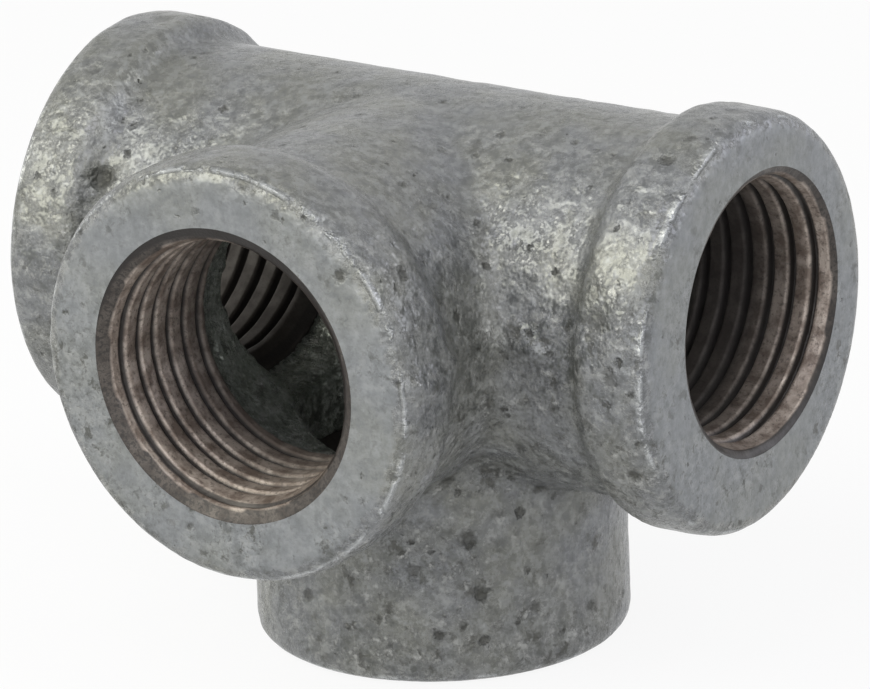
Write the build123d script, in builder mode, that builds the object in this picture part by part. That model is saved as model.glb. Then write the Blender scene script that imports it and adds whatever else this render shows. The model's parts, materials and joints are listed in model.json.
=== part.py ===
"""Side outlet pipe tee, 1/2 inch, cast in one piece, in millimetres with +Z up.

The run lies along X, the side outlet faces -Y and the bottom outlet faces -Z.
The origin is the centre of the bottom outlet's face, which the fitting stands on.
"""
from math import ceil, hypot, radians
from build123d import *
import os

# Distances from the crossing of the axes to the four faces
run_centre_to_end = 28.0
side_centre_to_end = 27.6
bottom_centre_to_end = 28.0

# Pipe thread, 1/2 inch with 14 threads to the inch: the bores have its major diameter
bore_diameter = 20.955
bore_depth = 12.6
run_mouth_chamfer = 0.27
side_mouth_chamfer = 0.62
bottom_mouth_chamfer = 0.42

# The right bore was cut a little off the casting's axis, so its wall is thinner behind and above
right_bore_shift_back = 0.9
right_bore_shift_up = 0.7

# Cast waterway, a little wider than the bores, and the wall of the run's tube round it
waterway_relief = 0.62
run_wall = 3.05

# Bands round the ends of the run, each behind a short sloping shoulder
run_band_height = 1.55
run_band_width = 5.6
run_shoulder_length = 1.1

# Side outlet: a neck a little slimmer than the run, then a longer shoulder and a band
side_neck_inset = 0.05
side_shoulder_length = 2.2
side_band_height = 1.7
side_band_width = 6.0

# Bottom outlet: a boss without a band, also a little slimmer than the run
boss_inset = 0.1

# Soft edges of the casting: a wide blend beside the neck and a tight crease round the boss
neck_blend_radius = 3.0
boss_crease_chamfer = 0.8
run_shoulder_rounding = 1.0
side_shoulder_rounding = 2.0
band_face_rounding = 1.4
boss_face_rounding = 1.4

# A rounded edge of a profile is made of flats that each turn no more than this, in degrees
flat_turn = 40

axis_height = bottom_centre_to_end
waterway_radius = bore_diameter / 2 + waterway_relief
run_tube_radius = waterway_radius + run_wall
run_band_radius = run_tube_radius + run_band_height
run_band_rear = run_centre_to_end - run_band_width
run_shoulder_foot = run_band_rear - run_shoulder_length
side_neck_radius = run_tube_radius - side_neck_inset
side_band_radius = side_neck_radius + side_band_height
side_band_rear = side_centre_to_end - side_band_width
side_shoulder_foot = side_band_rear - side_shoulder_length
boss_radius = run_tube_radius - boss_inset

# Profile planes through the crossing, with local X along each tube
run_plane = Plane(origin=(0, 0, axis_height), x_dir=(1, 0, 0), z_dir=(0, -1, 0))
side_plane = Plane(origin=(0, 0, axis_height), x_dir=(0, -1, 0), z_dir=(-1, 0, 0))
boss_plane = Plane(origin=(0, 0, axis_height), x_dir=(0, 0, -1), z_dir=(0, 1, 0))

# Planes at the four mouths, with local Z pointing out
right_bore_origin = (run_centre_to_end, right_bore_shift_back, axis_height + right_bore_shift_up)
right_mouth = Plane(origin=right_bore_origin, z_dir=(1, 0, 0))
left_mouth = Plane(origin=(-run_centre_to_end, 0, axis_height), z_dir=(-1, 0, 0))
side_mouth = Plane(origin=(0, -side_centre_to_end, axis_height), z_dir=(0, -1, 0))
bottom_mouth = Plane(origin=(0, 0, 0), z_dir=(0, 0, -1))

# How near a corner, ring or edge has to be to count as the one asked for
near = 1e-4


def corners_at(profile, x, radius):
    """Corners of a profile at one radius and one distance from the crossing, on either side."""
    return profile.vertices().filter_by(
        lambda corner: abs(abs(corner.X) - x) < near and abs(corner.Y - radius) < near
    )


def corners_in_flats(profile):
    """Corners of a profile in order, with each of its arcs divided into flats."""
    corners = []
    for edge in profile.wire().order_edges():
        flats = 1
        if edge.geom_type == GeomType.CIRCLE:
            flats = ceil(edge.length / edge.radius / radians(flat_turn))
        corners += [edge @ (flat / flats) for flat in range(flats)]
    return corners


def revolve_in_flats(profile, plane):
    """Turn a profile about local X of its plane, with a narrow cone for each flat."""
    with BuildSketch(plane) as section:
        with BuildLine():
            Polyline(*corners_in_flats(profile), close=True)
        make_face()
    return revolve(section.sketch, axis=Axis(plane.origin, plane.x_dir))


def crossing_curves(part):
    """Edges where two tubes cross, which are neither circles nor straight lines."""
    curves = part.edges().filter_by(GeomType.CIRCLE, reverse=True)
    return curves.filter_by(GeomType.LINE, reverse=True)


def on_boss(edge):
    """Whether an edge lies on the wall of the boss."""
    middle = edge @ 0.5
    return abs(hypot(middle.X, middle.Y) - boss_radius) < near


def ring_at(part, centre, radius):
    """Round edges of one radius about one centre."""
    return part.edges().filter_by(GeomType.CIRCLE).filter_by(
        lambda ring: (ring.arc_center - centre).length < near and abs(ring.radius - radius) < near
    )


# Profile of the run, with a band at each end
with BuildSketch() as run_profile:
    with BuildLine():
        Polyline(
            (-run_shoulder_foot, run_tube_radius),
            (run_shoulder_foot, run_tube_radius),
            (run_band_rear, run_band_radius),
            (run_centre_to_end, run_band_radius),
            (run_centre_to_end, 0),
            (-run_centre_to_end, 0),
            (-run_centre_to_end, run_band_radius),
            (-run_band_rear, run_band_radius),
            close=True,
        )
    make_face()
    fillet(corners_at(run_profile, run_shoulder_foot, run_tube_radius), run_shoulder_rounding)
    fillet(corners_at(run_profile, run_band_rear, run_band_radius), run_shoulder_rounding)
    fillet(corners_at(run_profile, run_centre_to_end, run_band_radius), band_face_rounding)

# Profile of the side outlet's neck, shoulder and band
with BuildSketch() as side_profile:
    with BuildLine():
        Polyline(
            (0, 0),
            (0, side_neck_radius),
            (side_shoulder_foot, side_neck_radius),
            (side_band_rear, side_band_radius),
            (side_centre_to_end, side_band_radius),
            (side_centre_to_end, 0),
            close=True,
        )
    make_face()
    fillet(corners_at(side_profile, side_shoulder_foot, side_neck_radius), side_shoulder_rounding)
    fillet(corners_at(side_profile, side_band_rear, side_band_radius), side_shoulder_rounding)
    fillet(corners_at(side_profile, side_centre_to_end, side_band_radius), band_face_rounding)

# Profile of the bottom outlet's boss
with BuildSketch() as boss_profile:
    with BuildLine():
        Polyline(
            (0, 0),
            (0, boss_radius),
            (bottom_centre_to_end, boss_radius),
            (bottom_centre_to_end, 0),
            close=True,
        )
    make_face()
    fillet(corners_at(boss_profile, bottom_centre_to_end, boss_radius), boss_face_rounding)

with BuildPart() as tee_casting:
    # Run and side outlet, with the blend that the lengths of neck and run leave room for
    revolve_in_flats(run_profile, run_plane)
    revolve_in_flats(side_profile, side_plane)
    neck_room = side_shoulder_foot - side_shoulder_rounding / 2 - run_tube_radius
    run_room = run_shoulder_foot - run_shoulder_rounding / 2 - side_neck_radius
    fillet(crossing_curves(tee_casting), min(neck_blend_radius, 0.8 * neck_room, 0.8 * run_room))

    # Bottom outlet, which meets both in a tight crease
    revolve_in_flats(boss_profile, boss_plane)
    chamfer(crossing_curves(tee_casting).filter_by(on_boss), boss_crease_chamfer)

    # Waterway from the crossing to the inner end of each bore
    for mouth, centre_to_end in (
        (right_mouth, run_centre_to_end),
        (left_mouth, run_centre_to_end),
        (side_mouth, side_centre_to_end),
        (bottom_mouth, bottom_centre_to_end),
    ):
        crossing = Plane(origin=(0, 0, axis_height), z_dir=mouth.z_dir)
        with BuildSketch(crossing):
            Circle(waterway_radius)
        extrude(amount=centre_to_end - bore_depth, mode=Mode.SUBTRACT)

    # Bores, each with a chamfered mouth
    for mouth, mouth_chamfer in (
        (right_mouth, run_mouth_chamfer),
        (left_mouth, run_mouth_chamfer),
        (side_mouth, side_mouth_chamfer),
        (bottom_mouth, bottom_mouth_chamfer),
    ):
        with BuildSketch(mouth):
            Circle(bore_diameter / 2)
        extrude(amount=-bore_depth, mode=Mode.SUBTRACT)
        chamfer(ring_at(tee_casting, mouth.origin, bore_diameter / 2), mouth_chamfer)

tee_casting.part.label = "tee_casting"
os.makedirs("parts", exist_ok=True)
export_step(tee_casting.part, "parts/tee_casting.step")
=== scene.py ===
# %% [markdown]
# A galvanized side outlet tee
#
# The real fitting is one iron casting, dipped in molten zinc and then tapped with four pipe threads.
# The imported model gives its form, with plain bores and with edges made of flats.
# This lesson rounds the edges, roughens the skin, adds the threads and gives the zinc its look.

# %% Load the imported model
import json
import math

import bmesh
import bpy
from mathutils import Matrix, Vector, noise


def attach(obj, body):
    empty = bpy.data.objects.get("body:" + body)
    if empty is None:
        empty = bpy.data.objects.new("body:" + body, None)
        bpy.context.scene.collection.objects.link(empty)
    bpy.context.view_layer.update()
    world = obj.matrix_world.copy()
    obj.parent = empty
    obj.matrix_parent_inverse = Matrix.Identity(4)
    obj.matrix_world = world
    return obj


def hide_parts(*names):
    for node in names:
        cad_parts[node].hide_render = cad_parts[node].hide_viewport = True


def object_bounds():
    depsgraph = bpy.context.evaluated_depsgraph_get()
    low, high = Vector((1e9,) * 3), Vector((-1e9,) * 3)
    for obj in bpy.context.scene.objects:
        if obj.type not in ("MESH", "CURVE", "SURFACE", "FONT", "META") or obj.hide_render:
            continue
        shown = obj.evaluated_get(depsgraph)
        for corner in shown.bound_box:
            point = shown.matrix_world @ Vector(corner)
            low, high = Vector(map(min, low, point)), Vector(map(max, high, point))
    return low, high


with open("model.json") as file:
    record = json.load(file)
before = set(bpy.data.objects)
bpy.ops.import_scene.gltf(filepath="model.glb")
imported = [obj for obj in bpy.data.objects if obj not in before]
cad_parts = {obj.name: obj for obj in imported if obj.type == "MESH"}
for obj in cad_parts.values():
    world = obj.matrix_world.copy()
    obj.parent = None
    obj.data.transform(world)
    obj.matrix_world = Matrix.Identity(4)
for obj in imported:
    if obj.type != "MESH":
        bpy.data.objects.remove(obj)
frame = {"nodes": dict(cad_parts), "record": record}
cad_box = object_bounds()
MM = 0.001
print("packed box in mm:", [[round(value / MM, 2) for value in corner] for corner in cad_box])

# %% [markdown]
# The four mouths
#
# Each outlet of the real fitting ends in a flat face, with a tapped bore and a small chamfer.
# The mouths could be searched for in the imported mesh, each time that a step needs them.
# They are written down once instead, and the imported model's mounts show whether they are right.

# %% The four mouths
# Millimetres from the crossing of the tubes to the faces
RUN_END, SIDE_END, BOTTOM_END = 28.0, 27.6, 28.0
BORE_RADIUS = 10.4775 * MM

# Each mouth has its centre on the face, the way out, and the radius where its chamfer meets the face
MOUTHS = {
    name: (Vector(centre) * MM, Vector(outward), BORE_RADIUS + chamfer * MM)
    for name, centre, outward, chamfer in (
        ("right_run_outlet", (RUN_END, 0.9, 28.7), (1, 0, 0), 0.27),
        ("left_run_outlet", (-RUN_END, 0.0, 28.0), (-1, 0, 0), 0.27),
        ("side_outlet", (0.0, -SIDE_END, 28.0), (0, -1, 0), 0.62),
        ("bottom_outlet", (0.0, 0.0, 0.0), (0, 0, -1), 0.42),
    )
}
for mount in frame["record"]["mounts"]:
    if mount["name"] in MOUTHS:
        centre, outward, radius = MOUTHS[mount["name"]]
        beside = (Vector(mount["pos_m"]) - centre).cross(outward).length
        print(mount["name"], "is off the packed bore's axis by mm:", round(beside / MM, 3))

# %% [markdown]
# The casting's skin
#
# A sand casting has no sharp outer edge, and zinc fills its corners a little more.
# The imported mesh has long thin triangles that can't carry small lumps, and dividing them leaves
# them thin. A voxel remesh gives even faces of one size, and smoothing turns the flats round.
# The remesh also rounds the edges where a face meets its bore, which on the real fitting are cut.
# So a ring narrows each mouth first, and is cut away again when the skin is done.

# %% Narrow each mouth with a ring
RING_DEPTH, RING_HOLE, RING_OVERLAP = 1.6 * MM, 5.0 * MM, 0.4 * MM
RING_STEPS = 160


def add_ring(mesh, centre, outward, hole, radius, start, end):
    """Add a closed flat ring in a mouth, from one depth under the face to another."""
    across = outward.orthogonal().normalized()
    section = ((hole, start), (hole, end), (radius, end), (radius, start))
    corners = [
        mesh.verts.new(centre + from_axis * across - depth * outward)
        for from_axis, depth in section
    ]
    sides = [mesh.edges.new((corners[index - 1], corners[index])) for index in range(4)]
    before = set(mesh.faces)
    turned = {"cent": centre, "axis": outward, "angle": math.tau, "use_merge": True}
    bmesh.ops.spin(mesh, geom=corners + sides, steps=RING_STEPS, **turned)
    added = [face for face in mesh.faces if face not in before]
    bmesh.ops.recalc_face_normals(mesh, faces=added)


casting_node = frame["nodes"]["tee_casting"]
skin = bmesh.new()
skin.from_mesh(casting_node.data)
bmesh.ops.remove_doubles(skin, verts=skin.verts, dist=0.001 * MM)
for centre, outward, radius in MOUTHS.values():
    add_ring(skin, centre, outward, RING_HOLE, radius + RING_OVERLAP, 0, RING_DEPTH)
print("faces of the packed casting and its rings:", len(skin.faces))


# %% Remesh the casting in even faces
def linked(name, data):
    """A new object with this data, linked to the scene."""
    made = bpy.data.objects.new(name, data)
    bpy.context.scene.collection.objects.link(made)
    return made


def mesh_object(name, mesh):
    """A new object in the scene, made from a bmesh that isn't needed after it."""
    data = bpy.data.meshes.new(name)
    mesh.to_mesh(data)
    mesh.free()
    return linked(name, data)


def mesh_after_modifiers(made):
    """A new mesh that an object's modifiers leave."""
    evaluated = made.evaluated_get(bpy.context.evaluated_depsgraph_get())
    return bpy.data.meshes.new_from_object(evaluated)


VOXEL = 0.44 * MM
rough_casting = mesh_object("rough_casting", skin)
remesh = rough_casting.modifiers.new("even faces", "REMESH")
remesh.mode = "VOXEL"
remesh.voxel_size = VOXEL
even_mesh = mesh_after_modifiers(rough_casting)
bpy.data.objects.remove(rough_casting)
print("even faces:", len(even_mesh.polygons))

# %% Round the flats
ROUNDS = 6


def smoothed(mesh, rounds):
    """Move each point of a mesh half way to the middle of its neighbours, a number of times."""
    every_way = {"use_axis_x": True, "use_axis_y": True, "use_axis_z": True}
    for _ in range(rounds):
        bmesh.ops.smooth_vert(mesh, verts=mesh.verts, factor=0.5, **every_way)
    mesh.verts.ensure_lookup_table()
    mesh.normal_update()
    return mesh


skin = bmesh.new()
skin.from_mesh(even_mesh)
smoothed(skin, ROUNDS)
reach = [max(vertex.co[axis] for vertex in skin.verts) for axis in range(3)]
print("highest corner of the smoothed box in mm:", [round(value / MM, 2) for value in reach])

# %% Keep the rims crisp
# Smoothing draws an edge in, so each point goes back by a share of what more smoothing would move it
CRISPNESS, SOFTER_ROUNDS = 0.22, 24
furthest = 0
softer = smoothed(skin.copy(), SOFTER_ROUNDS)
for vertex in skin.verts:
    pull = CRISPNESS * (softer.verts[vertex.index].co - vertex.co)
    vertex.co -= pull
    furthest = max(furthest, pull.length)
softer.free()
skin.normal_update()
print("furthest that a point went back in mm:", round(furthest / MM, 3))

# %% [markdown]
# Lumps, dents and the mould's parting line
#
# Sand grains and pooled zinc leave soft lumps a millimetre or more wide and a few hundredths high.
# The two halves of the mould met near the height of the run's axis, and metal crept into the joint.
# The larger pits were seen in the photograph, and each has its own place and size.
# Bump in the material could show all this, but the outline would stay smooth.
# So it is real height: each point moves along its normal, by seeded noise and by the dents.

# %% Where each point of the skin lies
crossing = Vector((0, 0, BOTTOM_END * MM))
FACE_PLANES = (
    (0, RUN_END * MM),
    (0, -RUN_END * MM),
    (1, -SIDE_END * MM),
    (2, -BOTTOM_END * MM),
)
WATERWAY_LIMIT = 12.6 * MM
RUN_LIMIT, SIDE_LIMIT, BOTTOM_LIMIT = 27.8 * MM, 27.4 * MM, 27.8 * MM


def is_inside(point):
    """Whether a point of the skin is on the walls of the waterway, not outside."""
    offset = point - crossing
    in_run = math.hypot(offset.y, offset.z) < WATERWAY_LIMIT and abs(offset.x) < RUN_LIMIT
    in_side = math.hypot(offset.x, offset.z) < WATERWAY_LIMIT and -SIDE_LIMIT < offset.y < 0
    in_boss = math.hypot(offset.x, offset.y) < WATERWAY_LIMIT and -BOTTOM_LIMIT < offset.z < 0
    return in_run or in_side or in_boss


def depth_under_face(point):
    """How far a point of the skin is behind the nearest plane of the four flat faces."""
    offset = point - crossing
    return min(abs(offset[axis] - face) for axis, face in FACE_PLANES)


print("points of the skin:", len(skin.verts), "inside:", sum(is_inside(v.co) for v in skin.verts))

# %% Places of the larger pits
# Each pit has its centre, its radius and how dark its dirt is: millimetres and a share of 1
PITS = (
    ((-21.0, -12.2, 35.3), 0.85, 0.9), ((-24.2, 0.8, 43.7), 0.7, 0.4),
    ((-25.0, -7.3, 41.9), 0.6, 0.45), ((2.4, -27.6, 43.0), 0.75, 0.6),
    ((5.2, -27.6, 40.9), 0.35, 0.7), ((10.5, -27.6, 37.2), 0.5, 0.9),
    ((9.7, -22.7, 40.4), 0.6, 0.3), ((13.2, -23.6, 36.7), 0.45, 0.85),
    ((13.6, -17.4, 31.7), 0.45, 0.7), ((18.9, -12.6, 34.5), 0.25, 0.9),
    ((25.4, -4.3, 43.1), 0.45, 0.7), ((25.0, -6.8, 42.1), 0.55, 0.75),
    ((25.7, 1.4, 43.6), 0.9, 0.4), ((23.8, -15.1, 32.2), 0.85, 0.5),
    ((26.0, -15.6, 29.6), 0.32, 0.95), ((25.3, -15.7, 28.2), 0.6, 0.5),
    ((24.9, -15.6, 26.2), 0.3, 0.8), ((25.9, -13.8, 20.6), 0.55, 0.9),
    ((14.8, -11.7, 20.1), 0.45, 0.7), ((12.3, -9.6, 17.6), 0.4, 0.85),
    ((8.5, -11.8, 16.4), 0.5, 0.5), ((11.9, -7.4, 13.1), 0.35, 0.8),
    ((9.3, -10.5, 11.6), 0.65, 0.85), ((5.9, -12.7, 9.2), 0.6, 0.65),
    ((10.0, -9.9, 7.2), 0.55, 0.95), ((12.4, -6.5, 5.5), 0.45, 0.7),
    ((7.4, -11.9, 4.2), 0.35, 0.9), ((10.0, -9.8, 3.6), 0.35, 0.75),
    ((-2.9, -13.7, 6.1), 0.45, 0.75), ((14.0, -1.4, 4.2), 0.35, 0.7),
)
DENT_DEPTH = 0.35


def dents_at(point):
    """Depth of the larger pits."""
    depth = 0
    for centre, radius, dark in PITS:
        gap = (point - MM * Vector(centre)).length / (radius * MM)
        if gap < 2:
            depth += DENT_DEPTH * radius * dark * MM * math.exp(-gap ** 2)
    return depth


deepest = max(dents_at(MM * Vector(centre)) for centre, radius, dark in PITS)
print("pits:", len(PITS), "deepest in mm:", round(deepest / MM, 2))

# %% Height of the lumps
# Three noises, each with the width of its lumps and their height in millimetres
SWELL, LUMP, RIPPLE = 7.0 * MM, 2.4 * MM, 1.2 * MM
SWELL_HEIGHT, LUMP_HEIGHT, RIPPLE_HEIGHT = 0.08, 0.055, 0.045
SEED = Vector((17.3, 4.1, 9.7))


def lumps_at(point):
    """Height of the skin's lumps, in metres: twice as rough on the walls of the waterway."""
    swell = noise.noise(point / SWELL + SEED)
    lump = noise.noise(point / LUMP + SEED)
    ripple = noise.noise(point / RIPPLE - SEED)
    height = (SWELL_HEIGHT * swell + LUMP_HEIGHT * lump + RIPPLE_HEIGHT * ripple) * MM
    return 2 * height if is_inside(point) else height


lumps = [lumps_at(vertex.co) / MM for vertex in skin.verts]
print("lumps in mm, lowest and highest:", round(min(lumps), 3), round(max(lumps), 3))

# %% Height of the parting line
# A ridge that comes and goes, and one broad tongue of flash where the halves of the mould gaped
PARTING_HEIGHT, PARTING_WIDTH = 28.5 * MM, 0.75 * MM
RIDGE_HEIGHT, RIDGE_GAPS, RIDGE_SHARE = 0.2, 1.9 * MM, 0.3
FLASH_PLACE, FLASH_BACK = Vector((17.0, -14.0, 29.3)) * MM, 3 * MM
FLASH_LENGTH, FLASH_WIDTH = 3.4 * MM, 1.25 * MM
FLASH_HEIGHT, FLASH_LUMPS, FLASH_CURL = 0.55, 1.5 * MM, 0.9


def parting_at(point):
    """Height of the metal that crept into the mould's joint."""
    if is_inside(point):
        return 0
    ridge = math.exp(-((point.z - PARTING_HEIGHT) / PARTING_WIDTH) ** 2)
    broken = max(0, noise.noise(point / RIDGE_GAPS + 2 * SEED) + RIDGE_SHARE)
    offset = point - FLASH_PLACE
    tongue = math.exp(-(offset.x / FLASH_LENGTH) ** 4 - (offset.z / FLASH_WIDTH) ** 2)
    tongue *= offset.y < FLASH_BACK
    curled = 1 + FLASH_CURL * noise.noise(point / FLASH_LUMPS - 3 * SEED)
    return (RIDGE_HEIGHT * ridge * broken + FLASH_HEIGHT * tongue * curled) * MM


print("highest flash in mm:", round(max(parting_at(v.co) for v in skin.verts) / MM, 2))

# %% Depth of the crease beside the neck
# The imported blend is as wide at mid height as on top, where the real one is tighter
RUN_RADIUS, NECK_RADIUS, CREASE_SHARE = 14.15 * MM, 14.1 * MM, 0.4
CREASE_RUN_END, CREASE_NECK_END = 20 * MM, 19 * MM
CREASE_HEIGHT, CREASE_FADE = 11.5 * MM, 4 * MM


def crease_at(point):
    """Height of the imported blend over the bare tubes, where it has to be tighter."""
    offset = point - crossing
    beside = abs(offset.x) > CREASE_RUN_END or offset.y < -CREASE_NECK_END
    if offset.y > 0 or is_inside(point) or beside:
        return 0
    from_run = math.hypot(offset.y, offset.z) - RUN_RADIUS
    from_neck = math.hypot(offset.x, offset.z) - NECK_RADIUS
    fade = min(1, max(0, (CREASE_HEIGHT - abs(offset.z)) / CREASE_FADE))
    return max(0, min(from_run, from_neck)) * fade


deepest = CREASE_SHARE * max(crease_at(vertex.co) for vertex in skin.verts)
print("deepest crease in mm:", round(deepest / MM, 2))

# %% Move the points
# The lumps fade towards the flat faces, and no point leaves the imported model's box
FACE_FADE, SKIN_INSET = 1.2 * MM, 0.02 * MM
low, high = (Vector(corner) for corner in cad_box)
low += Vector((SKIN_INSET, SKIN_INSET, 0))
high -= Vector((SKIN_INSET, SKIN_INSET, SKIN_INSET))
moves = []
for vertex in skin.verts:
    point = vertex.co.copy()
    fade = min(1, depth_under_face(point) / FACE_FADE)
    raised = fade * (lumps_at(point) + parting_at(point))
    height = raised - dents_at(point) - CREASE_SHARE * crease_at(point)
    moved = point + vertex.normal * height
    vertex.co = Vector(min(max(moved[axis], low[axis]), high[axis]) for axis in range(3))
    moves.append(height / MM)
skin.normal_update()
print("points moved in mm, from", round(min(moves), 2), "to", round(max(moves), 2))

# %% [markdown]
# Cut mouths
#
# After casting and dipping, each face is ground flat and each mouth is opened to its full width.
# The edge between them is sharp, so it is cut here too, when the soft skin is finished.
# Moving points to the edge would leave it jagged. A boolean difference adds new points along it.
# The threads come as sleeves of their own, and the walls of the bores move back behind them.

# %% Make room for the threads
BORE_DEPTH, BORE_LIMIT, THREAD_ROOM = 12.6 * MM, 11.45 * MM, 0.35 * MM
count = 0
for centre, outward, radius in MOUTHS.values():
    for vertex in skin.verts:
        depth = outward.dot(centre - vertex.co)
        across = vertex.co - centre + depth * outward
        if RING_DEPTH < depth < BORE_DEPTH and across.length < BORE_LIMIT:
            vertex.co += THREAD_ROOM * across.normalized()
            count += 1
print("points moved back behind the threads:", count)

# %% Cut the mouths to their full width
# Each cutter starts inside the ring's hole and above the face, and ends below the ring
CUT_INSIDE, CUT_ABOVE, CUT_BELOW = 1.5 * MM, 0.5 * MM, 0.6 * MM
cutters = bmesh.new()
for centre, outward, radius in MOUTHS.values():
    cut_depths = (-CUT_ABOVE, RING_DEPTH + CUT_BELOW)
    add_ring(cutters, centre, outward, RING_HOLE - CUT_INSIDE, radius, *cut_depths)
ringed_casting = mesh_object("ringed_casting", skin)
mouth_cutters = mesh_object("mouth_cutters", cutters)
cut = ringed_casting.modifiers.new("mouths", "BOOLEAN")
cut.operation, cut.solver, cut.object = "DIFFERENCE", "MANIFOLD", mouth_cutters
cut_mesh = mesh_after_modifiers(ringed_casting)
bpy.data.objects.remove(ringed_casting)
bpy.data.objects.remove(mouth_cutters)

skin = bmesh.new()
skin.from_mesh(cut_mesh)
skin.normal_update()
open_edges = sum(edge.is_boundary for edge in skin.edges)
print("faces after the cut:", len(skin.faces), "open edges:", open_edges)

# %% [markdown]
# Where grime gathers and shade is painted
#
# Grease and dirt stay in hollows and are rubbed off the edges, and the hollows are also darkened as
# painted shade.
# The hollows could be painted by hand, but the mesh knows them: heavy smoothing moves a hollow
# outwards and an edge inwards. How far each point would move is kept on the mesh, beside
# whether it is inside and whether it is on a flat face, for the zinc's material to read.

# %% Measure the hollows
FACE_REACH = 0.09 * MM
hollow = skin.verts.layers.float.new("hollow")
inside = skin.verts.layers.float.new("inside")
faced = skin.verts.layers.float.new("faced")
softer = smoothed(skin.copy(), SOFTER_ROUNDS)
for vertex in skin.verts:
    moved = (softer.verts[vertex.index].co - vertex.co).dot(vertex.normal)
    vertex[hollow] = moved / MM
    vertex[inside] = float(is_inside(vertex.co))
    vertex[faced] = float(depth_under_face(vertex.co) < FACE_REACH)
softer.free()
values = sorted(vertex[hollow] for vertex in skin.verts)
shown = [round(values[int(len(values) * share)], 3) for share in (0.01, 0.5, 0.99)]
print("hollow in mm, 1st, 50th and 99th percent:", shown)

# %% Finish the casting's mesh
SHARP_ANGLE = 55
casting_mesh = bpy.data.meshes.new("tee_casting_skin")
skin.to_mesh(casting_mesh)
skin.free()
casting_mesh.shade_smooth()
casting_mesh.set_sharp_from_angle(angle=math.radians(SHARP_ANGLE))
casting = linked("galvanized_casting", casting_mesh)
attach(casting, "root")
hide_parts("tee_casting")
triangles = sum(len(face.vertices) - 2 for face in casting_mesh.polygons)
print("casting triangles:", triangles)

# %% [markdown]
# The pipe threads
#
# A tap cuts each thread: one groove of 55 degrees that climbs 1.814 mm a turn, on a taper of 1 in 16.
# It could be cut with a boolean too, but cutter and wall would graze each other all along the bore.
# A thin sleeve with the thread inside has clean faces, and can have a material of its own.
# Its section is drawn once, along the whole bore, and spun one turn while it climbs one pitch.
# The end of each turn then meets the start of the next, as on a real helix.

# %% Section of the thread
PITCH = 25.4 / 14 * MM
THREAD_DEPTH, HALF_ANGLE = 0.42, 27.5
CREST_RADIUS = BORE_RADIUS - THREAD_DEPTH * PITCH
FLANK = THREAD_DEPTH * math.tan(math.radians(HALF_ANGLE))


def thread_radius(height):
    """Radius of the thread's section at a height along the bore: a V groove beside a flat crest."""
    turns = height / PITCH
    from_groove = abs(turns - round(turns))
    depth = max(0, 1 - from_groove / FLANK)
    return CREST_RADIUS + depth * (BORE_RADIUS - CREST_RADIUS)


print("radius in mm of groove and crest:", round(BORE_RADIUS / MM, 2), round(CREST_RADIUS / MM, 2))

# %% Spin the section
# The mouth's face is at height 0, and the bore runs down from it
THREAD_LENGTH = 12.65 * MM
POINTS_PER_PITCH, TURN_STEPS = 14, 150


def spun_thread():
    """An open tube with the thread on it, trimmed at the face and at the end of the bore."""
    sleeve = bmesh.new()
    step = PITCH / POINTS_PER_PITCH
    count = int(THREAD_LENGTH / step) + 3 * POINTS_PER_PITCH
    heights = [2 * PITCH - index * step for index in range(count)]
    section = [sleeve.verts.new((thread_radius(height), 0, height - PITCH)) for height in heights]
    for first, second in zip(section, section[1:]):
        sleeve.edges.new((first, second))
    whole = sleeve.verts[:] + sleeve.edges[:]
    climb = Vector((0, 0, PITCH / TURN_STEPS))
    turned = {"cent": (0, 0, 0), "axis": (0, 0, 1), "dvec": climb, "angle": math.tau}
    bmesh.ops.spin(sleeve, geom=whole, steps=TURN_STEPS, **turned)
    bmesh.ops.remove_doubles(sleeve, verts=sleeve.verts, dist=0.005 * MM)
    for height, clear in ((0, "clear_outer"), (-THREAD_LENGTH, "clear_inner")):
        whole = sleeve.verts[:] + sleeve.edges[:] + sleeve.faces[:]
        plane = {"plane_co": (0, 0, height), "plane_no": (0, 0, 1), clear: True}
        bmesh.ops.bisect_plane(sleeve, geom=whole, dist=0.0001 * MM, **plane)
    return sleeve


# %% Shape the ends of the thread
# The chamfer takes the first crests away, and the tap's own taper fades the last ones
TAPER, CHAMFER_SLOPE, FADE_SLOPE = 1 / 32, 2.0, 0.8
FIRST_CREST_RADIUS, FIRST_CREST_SLOPE = BORE_RADIUS - 0.2 * MM, 0.3
TORN_HEIGHT, TORN_SIZE = 0.05 * MM, 1.3 * MM


def shape_thread(sleeve, mouth_radius, start_angle, painted_bore_shade):
    """Taper a thread, shape its ends, and keep on it what its material reads."""
    deep = sleeve.verts.layers.float.new("deep")
    root = sleeve.verts.layers.float.new("root")
    mouth = sleeve.verts.layers.float.new("mouth")
    for vertex in sleeve.verts:
        radius = math.hypot(vertex.co.x, vertex.co.y)
        narrowed = radius + TAPER * vertex.co.z
        shortened = max(narrowed, FIRST_CREST_RADIUS + FIRST_CREST_SLOPE * vertex.co.z)
        cone = mouth_radius + CHAMFER_SLOPE * vertex.co.z
        fade = BORE_RADIUS - FADE_SLOPE * (vertex.co.z + THREAD_LENGTH)
        torn = TORN_HEIGHT * noise.noise(vertex.co / TORN_SIZE + start_angle * SEED)
        wanted = max(shortened, cone, fade) - torn
        vertex[root] = min(1, (radius - torn - CREST_RADIUS) / (BORE_RADIUS - CREST_RADIUS))
        vertex[mouth] = float(cone >= shortened)
        # Painted shade: the deeper a point is in the bore, the darker its thread
        vertex[deep] = -painted_bore_shade * vertex.co.z / THREAD_LENGTH
        vertex.co.xy *= wanted / radius


# %% Close the sleeve
# A narrow front, an outer wall inside the casting and an inner end make it a closed body
BURIED = 0.12 * MM
AT_FACE = -0.001 * MM


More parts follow.
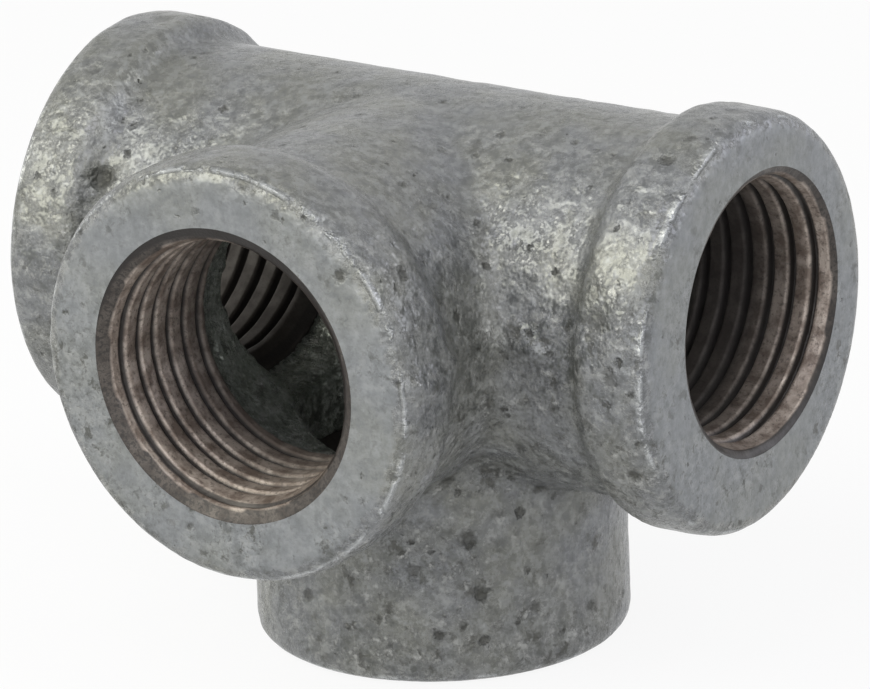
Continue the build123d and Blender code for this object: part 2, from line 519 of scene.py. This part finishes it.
def close_sleeve(sleeve, mouth_radius):
    """Close a thread's tube to a sleeve, and count the edges that are still open."""
    rims = [edge for edge in sleeve.edges if edge.is_boundary]
    front = [edge for edge in rims if edge.verts[0].co.z > AT_FACE]
    back = [edge for edge in rims if edge.verts[0].co.z < AT_FACE]
    for height in (0, -THREAD_LENGTH):
        grown = bmesh.ops.extrude_edge_only(sleeve, edges=front)["geom"]
        for vertex in (item for item in grown if isinstance(item, bmesh.types.BMVert)):
            vertex.co.xy *= (mouth_radius + BURIED) / math.hypot(vertex.co.x, vertex.co.y)
            vertex.co.z = height
        edges = (item for item in grown if isinstance(item, bmesh.types.BMEdge))
        front = [edge for edge in edges if edge.is_boundary]
    bmesh.ops.bridge_loops(sleeve, edges=front + back)
    bmesh.ops.recalc_face_normals(sleeve, faces=sleeve.faces)
    return sum(edge.is_boundary for edge in sleeve.edges)


# %% A sleeve in each mouth
# Each thread starts at its own angle, and some get more painted shade deep in the bore than others
MOUTH_INSET = 0.03 * MM
THREADS = {
    "right_run_outlet": (0.3, 1.4),
    "left_run_outlet": (1.1, 2.5),
    "side_outlet": (2.0, 0.6),
    "bottom_outlet": (0.0, 1.2),
}
threads = []
for name, (start_angle, painted_bore_shade) in THREADS.items():
    centre, outward, radius = MOUTHS[name]
    sleeve = spun_thread()
    shape_thread(sleeve, radius, start_angle, painted_bore_shade)
    open_edges = close_sleeve(sleeve, radius)
    along_bore = Vector((0, 0, 1)).rotation_difference(outward).to_matrix().to_4x4()
    turn = along_bore @ Matrix.Rotation(start_angle, 4, "Z")
    seat = Matrix.Translation(centre - MOUTH_INSET * outward)
    bmesh.ops.transform(sleeve, verts=sleeve.verts, matrix=seat @ turn)
    piece = mesh_object("thread_" + name, sleeve)
    piece.data.shade_smooth()
    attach(piece, "root")
    threads.append(piece)
    print(piece.name, "faces:", len(piece.data.polygons), "open edges:", open_edges)

# %% [markdown]
# Helpers for the materials
#
# A material here is a tree of small nodes, and each could be placed and linked by hand.
# A few helpers keep it short: each adds a node to the current tree and gives back its output.
# Colours are written as sRGB hex and turned to the linear values that Blender's shaders take.
# Pattern sizes are written in millimetres and turned to scales per metre.

# %% Colours and scales
def linear(code):
    """Linear RGBA of an sRGB hex colour."""
    channels = [int(code[place:place + 2], 16) / 255 for place in (1, 3, 5)]
    return [c / 12.92 if c <= 0.04045 else ((c + 0.055) / 1.055) ** 2.4 for c in channels] + [1]


def per(millimetres):
    """Texture scale of a pattern that repeats about every so many millimetres."""
    return 1 / (millimetres * MM)


print("linear value of #808080:", round(linear("#808080")[0], 3), "scale of a 2 mm pattern:", per(2))


# %% Nodes
def new_material(name):
    """A new material, and its tree of nodes."""
    material = bpy.data.materials.new(name)
    material.use_nodes = True
    return material, material.node_tree


def add_node(kind, settings=None, inputs=None):
    """A node of the current tree, with its inputs set to values or linked to outputs."""
    node = tree.nodes.new("ShaderNode" + kind)
    for name, value in (settings or {}).items():
        setattr(node, name, value)
    for key, value in (inputs or {}).items():
        if isinstance(value, bpy.types.NodeSocket):
            tree.links.new(value, node.inputs[key])
        else:
            node.inputs[key].default_value = value
    return node


def math_node(operation, *values):
    """Output of a Math node."""
    return add_node("Math", {"operation": operation}, dict(enumerate(values))).outputs[0]


def vector_node(operation, first, second, output="Vector"):
    """Output of a Vector Math node."""
    second_input = "Scale" if operation == "SCALE" else 1
    inputs = {0: first, second_input: second}
    return add_node("VectorMath", {"operation": operation}, inputs).outputs[output]


def noise_node(vector, millimetres, detail=2, roughness=0.5, output=0):
    """Output of a noise that repeats about every so many millimetres."""
    inputs = {"Vector": vector, "Scale": per(millimetres), "Detail": detail, "Roughness": roughness}
    return add_node("TexNoise", inputs=inputs).outputs[output]


def ramp_up(value, start, end, low=0.0, high=1.0):
    """A value mapped from start..end to low..high and held there outside."""
    inputs = {0: value, 1: start, 2: end, 3: low, 4: high}
    return add_node("MapRange", {"clamp": True}, inputs).outputs[0]


def laid_over(base, amount, code):
    """A hex colour laid over a colour by an amount."""
    return add_node("Mix", {"data_type": "RGBA"}, {0: amount, 6: base, 7: linear(code)}).outputs[2]


def mesh_value(name):
    """Output of a value that is kept on the mesh."""
    return add_node("Attribute", {"attribute_name": name}).outputs["Fac"]


# %% [markdown]
# Hot dip galvanized iron
#
# The zinc is a dull mid grey metal, bluish in places and greenish in others, and finely mottled.
# Gas and ash leave it full of small dark pits, and the hollows are darker, partly from dirt and
# partly as painted shade.
# It could be one noise, but the eye reads each scale apart, so each scale has its own pattern.

# %% Zinc: tone and mottling
zinc, tree = new_material("hot_dip_galvanized_iron")
shader = tree.nodes["Principled BSDF"]
place = add_node("TexCoord").outputs["Object"]
patch = noise_node(place, 6.5, 3, 0.55)
mottle = noise_node(place, 0.8, 5, 0.7)
faced = mesh_value("faced")
colour = linear("#747678")
for amount, code in (
    (ramp_up(patch, 0.42, 0.6), "#767772"),
    (ramp_up(mottle, 0.5, 0.66, 0.0, 0.7), "#8E9090"),
    (ramp_up(mottle, 0.5, 0.34, 0.0, 0.7), "#5B5D5D"),
    (math_node("MULTIPLY", faced, 0.4), "#868A8C"),
):
    colour = laid_over(colour, amount, code)
print("nodes for tone and mottling:", len(tree.nodes))


# %% Zinc: places with a ragged outline
def pushed_about(millimetres, distance):
    """Places that noise of one size pushes about, so that a spot there has a ragged outline."""
    push = noise_node(place, millimetres, 3, output="Color")
    push = vector_node("SUBTRACT", push, (0.5, 0.5, 0.5))
    return vector_node("ADD", place, vector_node("SCALE", push, distance))


wandered = pushed_about(0.7, 1.1 * MM)
ragged = pushed_about(0.35, 0.9 * MM)
print("nodes with ragged places:", len(tree.nodes))

# %% Zinc: specks, spots and crust
# They crowd together in patches, and are fewer on top and on the flat faces
SPARSE_HEIGHT, CROWDED_HEIGHT = 41 * MM, 30 * MM
height = add_node("SeparateXYZ", inputs={0: place}).outputs[2]
crowd = ramp_up(noise_node(place, 5.0), 0.4, 0.6, 0.35, 1.0)
crowd = math_node("MULTIPLY", crowd, ramp_up(height, SPARSE_HEIGHT, CROWDED_HEIGHT, 0.45, 1.0))
specks = ramp_up(noise_node(place, 0.32, 2, 0.6), 0.56, 0.68)
spots = ramp_up(noise_node(wandered, 1.25, 4, 0.62), 0.57, 0.65)
specks = math_node("MAXIMUM", math_node("MULTIPLY", specks, 0.6), spots)
specks = math_node("MULTIPLY", specks, crowd)
crowd = math_node("MULTIPLY", crowd, ramp_up(faced, 0.0, 1.0, 1.0, 0.45))
crust = noise_node(place, 1.0, 6, 0.75)
pale = math_node("MULTIPLY", ramp_up(crust, 0.5, 0.6), crowd)
grey = math_node("MULTIPLY", ramp_up(crust, 0.49, 0.4), crowd)
print("nodes with specks, spots and crust:", len(tree.nodes))

# %% Zinc: pits
# Two scattered kinds, each with its spacing in mm, the share of cells with a pit, and radii in cells
PIT_KINDS = ((1.5, 0.34, 0.08, 0.2), (3.3, 0.4, 0.06, 0.13))
pits = None
for size, share, smallest, largest in PIT_KINDS:
    cells = add_node("TexVoronoi", inputs={"Vector": ragged, "Scale": per(size)})
    dice = add_node("SeparateColor", inputs={0: cells.outputs["Color"]}).outputs[0]
    radius = ramp_up(dice, 1 - share, 1.0, smallest, largest)
    chosen = math_node("GREATER_THAN", dice, 1 - share)
    reach = math_node("DIVIDE", cells.outputs["Distance"], radius)
    one = math_node("MULTIPLY", ramp_up(reach, 1.4, 0.4), chosen)
    pits = one if pits is None else math_node("MAXIMUM", pits, one)
pits = math_node("MULTIPLY", pits, ramp_up(mottle, 0.3, 0.55, 0.35, 1.0))

# The larger pits are dark where the dents are
for centre, radius, dark in PITS:
    nearness = vector_node("DISTANCE", ragged, MM * Vector(centre), "Value")
    own = ramp_up(nearness, 1.3 * radius * MM, 0.6 * radius * MM, 0.0, dark)
    pits = math_node("MAXIMUM", pits, own)
print("nodes with pits:", len(tree.nodes))

# %% Zinc: the burr round each flat face, with a painted highlight
# Grinding a face flat leaves a thin burr, a raised ring of the same zinc; its pale colour is a
# painted highlight: one radius for each axis
BURR_HIGHLIGHT_WIDTH, BURR_HIGHLIGHT_START = 0.24 * MM, 26.8 * MM
BURR_HIGHLIGHT_RADII = (15.3 * MM, 15.4 * MM, 13.6 * MM)
from_crossing = vector_node("SUBTRACT", place, crossing)
along_axes = add_node("SeparateXYZ", inputs={0: from_crossing}).outputs
burr_highlight = None
for axis, burr_highlight_radius in enumerate(BURR_HIGHLIGHT_RADII):
    keep = [1.0, 1.0, 1.0]
    keep[axis] = 0.0
    across = vector_node("MULTIPLY", from_crossing, keep)
    radius = add_node("VectorMath", {"operation": "LENGTH"}, {0: across}).outputs["Value"]
    gap = math_node("ABSOLUTE", math_node("SUBTRACT", radius, burr_highlight_radius))
    at_end = math_node("GREATER_THAN", math_node("ABSOLUTE", along_axes[axis]), BURR_HIGHLIGHT_START)
    ring = math_node("MULTIPLY", ramp_up(gap, BURR_HIGHLIGHT_WIDTH, 0.0), at_end)
    burr_highlight = ring if burr_highlight is None else math_node("MAXIMUM", burr_highlight, ring)
burr_highlight = math_node("MULTIPLY", burr_highlight, ramp_up(noise_node(place, 2.6, 4, 0.65), 0.46, 0.56))
print("nodes with burrs:", len(tree.nodes))

# %% Zinc: the colours of the inside, grime and painted shade, crust, pits, and burrs with a painted highlight
# Each lies over the ones before it, by its amount and its greatest share
# Darker in the hollows: partly grime, partly painted shade
grime_and_painted_shade = ramp_up(mesh_value("hollow"), 0.1, 0.24)
grime_and_painted_shade = math_node("MULTIPLY", grime_and_painted_shade, ramp_up(mottle, 0.35, 0.6, 0.55, 1.0))
for amount, share, code in (
    # The walls of the waterway are greener zinc, and lighter than outside as painted light, since
    # little lamp light reaches them
    (mesh_value("inside"), 0.8, "#848A81"),
    (pale, 0.65, "#A4A5A2"),
    (grey, 0.7, "#4E504C"),
    (grime_and_painted_shade, 0.6, "#4A4B46"),
    (specks, 0.8, "#464641"),
    (pits, 0.85, "#353530"),
    # The burr's pale colour is a painted highlight along the rims
    (burr_highlight, 0.7, "#C4C7C8"),
):
    colour = laid_over(colour, math_node("MULTIPLY", amount, share), code)
tree.links.new(colour, shader.inputs["Base Color"])
print("nodes with all colours:", len(tree.nodes))

# %% Zinc: gloss and small relief
RELIEF_HEIGHT = 0.3 * MM
shader.inputs["Metallic"].default_value = 0.5
gloss = ramp_up(mottle, 0.35, 0.65, 0.2, 0.34)
for amount, share in ((faced, 0.12), (pits, 0.2)):
    gloss = math_node("MULTIPLY_ADD", amount, share, gloss)
tree.links.new(gloss, shader.inputs["Roughness"])

relief = noise_node(place, 1.3, 2, 0.55)
for amount, share in ((pits, -0.6), (pale, 0.25), (specks, -0.15), (burr_highlight, 1.0)):
    relief = math_node("MULTIPLY_ADD", amount, share, relief)
strength = math_node("MULTIPLY_ADD", faced, -0.6, 1.0)
bump = add_node("Bump", inputs={"Strength": strength, "Distance": RELIEF_HEIGHT, "Height": relief})
tree.links.new(bump.outputs[0], shader.inputs["Normal"])
casting_mesh.materials.append(zinc)
print("zinc nodes:", len(tree.nodes))

# %% [markdown]
# Cut thread
#
# The thread is bare iron, cut after dipping, with brown oil on it and dark grooves.
# The crests are rubbed pale, the chamfer at the mouth is the darkest, and the thread darkens deeper
# in the bore as painted shade.
# A photograph of a thread could be wrapped on, but the sleeve already knows its grooves, its depth
# and its chamfer, so the values kept on the mesh place the dark parts exactly.

# %% Thread material
thread_iron, tree = new_material("oiled_tapped_iron")
shader = tree.nodes["Principled BSDF"]
place = add_node("TexCoord").outputs["Object"]
stain = noise_node(place, 1.6, 5, 0.65)
grit = noise_node(place, 0.3, 3, 0.6)
deep = ramp_up(mesh_value("deep"), 0.2, 0.75)
colour = linear("#6E6259")
for amount, code in (
    (ramp_up(stain, 0.4, 0.6), "#A79C92"),
    (ramp_up(grit, 0.54, 0.66, 0.0, 0.6), "#3A322D"),
    (ramp_up(mesh_value("root"), 0.1, 0.4, 0.0, 0.95), "#1C1816"),
    # Darker deeper into the bore: painted shade
    (math_node("MULTIPLY", deep, 0.93), "#1D1917"),
    (math_node("MULTIPLY", mesh_value("mouth"), ramp_up(grit, 0.4, 0.6, 0.97, 0.8)), "#211E1C"),
):
    colour = laid_over(colour, amount, code)
tree.links.new(colour, shader.inputs["Base Color"])
print("nodes for the thread's colour:", len(tree.nodes))

# %% Thread: gloss and small relief
CHATTER_HEIGHT = 0.06 * MM
tree.links.new(ramp_up(deep, 0.0, 1.0, 0.35, 0.1), shader.inputs["Metallic"])
gloss = math_node("MULTIPLY_ADD", deep, 0.3, ramp_up(stain, 0.35, 0.65, 0.5, 0.34))
tree.links.new(gloss, shader.inputs["Roughness"])
chatter = math_node("MULTIPLY_ADD", grit, 0.6, stain)
bump = add_node("Bump", inputs={"Strength": 0.9, "Distance": CHATTER_HEIGHT, "Height": chatter})
tree.links.new(bump.outputs[0], shader.inputs["Normal"])
for piece in threads:
    piece.data.materials.append(thread_iron)
print("thread nodes:", len(tree.nodes), "on pieces:", len(threads))

# %% [markdown]
# Floor and backdrop
#
# The fitting stands on white paper that runs up behind it, and the paper is lit until it is white.
# Lighting a real sheet that brightly would flood the metal from all sides.
# So the paper and the sky shine by themselves, but only for the camera and in reflections.
# For all other light the paper is a matt sheet, which takes the soft shadow.

# %% Floor
FLOOR_HALF_SIDE, PAPER_GLOW = 3, 0.9
sheet = bmesh.new()
bmesh.ops.create_grid(sheet, x_segments=1, y_segments=1, size=FLOOR_HALF_SIDE)
floor = mesh_object("floor", sheet)
paper, tree = new_material("white_paper_sweep")
tree.nodes.remove(tree.nodes["Principled BSDF"])


def seen_directly(share):
    """A share for camera, glossy and transmission rays, and nothing for light that bounces about."""
    ray = add_node("LightPath").outputs
    seen = math_node("MAXIMUM", ray["Is Camera Ray"], ray["Is Glossy Ray"])
    return math_node("MULTIPLY", math_node("MAXIMUM", seen, ray["Is Transmission Ray"]), share)


matt = add_node("BsdfDiffuse", inputs={"Color": linear("#F2F2F2")}).outputs[0]
white = add_node("Emission", inputs={"Color": (1, 1, 1, 1), "Strength": 1.0}).outputs[0]
mixed = add_node("MixShader", inputs={0: seen_directly(PAPER_GLOW), 1: matt, 2: white}).outputs[0]
tree.links.new(mixed, tree.nodes["Material Output"].inputs["Surface"])
floor.data.materials.append(paper)
print("floor in m:", [round(side, 1) for side in floor.dimensions])

# %% World
SKY_STRENGTH = 0.36
world = bpy.data.worlds.new("studio")
bpy.context.scene.world = world
world.use_nodes = True
tree = world.node_tree
sky = tree.nodes["Background"]
sky.inputs["Color"].default_value = linear("#F4F5F8")
sky.inputs["Strength"].default_value = SKY_STRENGTH
backdrop = add_node("Background", inputs={"Color": (1, 1, 1, 1), "Strength": 1.0}).outputs[0]
both = {0: seen_directly(1.0), 1: sky.outputs[0], 2: backdrop}
mixed = add_node("MixShader", inputs=both).outputs[0]
tree.links.new(mixed, tree.nodes["World Output"].inputs["Surface"])
print("sky strength:", SKY_STRENGTH)

# %% [markdown]
# Light
#
# The photograph was lit by broad soft lamps: the zinc has wide dull highlights and no hard shadow.
# One sky would do for the shadow, but then every side of the fitting would be equally bright.
# Six soft boxes give each side its own brightness: a strong one in front on the left, weaker ones
# in front, on the right and behind on the right, and two from above on the right and in front.


# %% Soft boxes
def direction(azimuth, elevation):
    """Unit vector away from the crossing, in degrees: azimuth 0 is in front of the side outlet."""
    turn, rise = math.radians(azimuth), math.radians(elevation)
    level = math.cos(rise)
    return Vector((math.sin(turn) * level, -math.cos(turn) * level, math.sin(rise)))


# Each has its name, azimuth and elevation, width and height in metres, brightness and colour
LAMP_DISTANCE = 0.5
SOFT_BOXES = (
    ("front_left_box", -39, 34, 0.34, 0.42, 4.2, "#FFFDF0"),
    ("rear_right_box", 136, 14, 0.34, 0.22, 2.4, "#F2F2FF"),
    ("right_top_box", 84, 46, 0.22, 0.22, 3.2, "#FFFFFF"),
    ("right_box", 48, 18, 0.24, 0.22, 1.7, "#F4F4FF"),
    ("front_fill_box", 10, 10, 0.50, 0.28, 1.4, "#FFFFFF"),
    ("top_front_box", 14, 54, 0.26, 0.20, 2.8, "#F6F4FF"),
)
for name, azimuth, elevation, width, height, radiance, code in SOFT_BOXES:
    lamp = bpy.data.lights.new(name, "AREA")
    lamp.shape = "RECTANGLE"
    lamp.size, lamp.size_y = width, height
    lamp.energy = radiance * math.pi * width * height
    lamp.color = linear(code)[:3]
    towards = direction(azimuth, elevation)
    facing = towards.to_track_quat("Z", "Y").to_matrix().to_4x4()
    holder = linked(name, lamp)
    holder.matrix_world = Matrix.Translation(crossing + LAMP_DISTANCE * towards) @ facing
    print(name, "watts:", round(lamp.energy, 2))

# %% [markdown]
# Camera
#
# The photograph was taken with a long lens, a little above the fitting and to its right.
# The camera could be moved by hand until the two pictures agree.
# These values come from fitting the outline of the solids to the outline in the photograph.

# %% Camera
CAMERA_AZIMUTH, CAMERA_ELEVATION, CAMERA_ROLL = 33.77, 19.17, -1.89
CAMERA_DISTANCE, SENSOR_WIDTH = 600 * MM, 36
SHIFT_RIGHT, SHIFT_UP = 0.16 * MM, -5.70 * MM
PIXELS_PER_MM, PHOTO_WIDTH = 13.48, 870

roll = math.radians(CAMERA_ROLL)
back = direction(CAMERA_AZIMUTH, CAMERA_ELEVATION)
level = (-back).cross(Vector((0, 0, 1))).normalized()
upright = level.cross(-back)
right = math.cos(roll) * level + math.sin(roll) * upright
up = -math.sin(roll) * level + math.cos(roll) * upright
eye = crossing + back * CAMERA_DISTANCE + right * SHIFT_RIGHT + up * SHIFT_UP

camera_data = bpy.data.cameras.new("photo_camera")
camera_data.sensor_width = SENSOR_WIDTH
camera_data.lens = PIXELS_PER_MM * CAMERA_DISTANCE / MM / PHOTO_WIDTH * SENSOR_WIDTH
camera = linked("photo_camera", camera_data)
turn = Matrix((right, up, back)).transposed().to_4x4()
camera.matrix_world = Matrix.Translation(eye) @ turn
bpy.context.scene.camera = camera
bpy.context.scene.view_settings.view_transform = "Standard"
print("lens in mm:", round(camera_data.lens, 1))
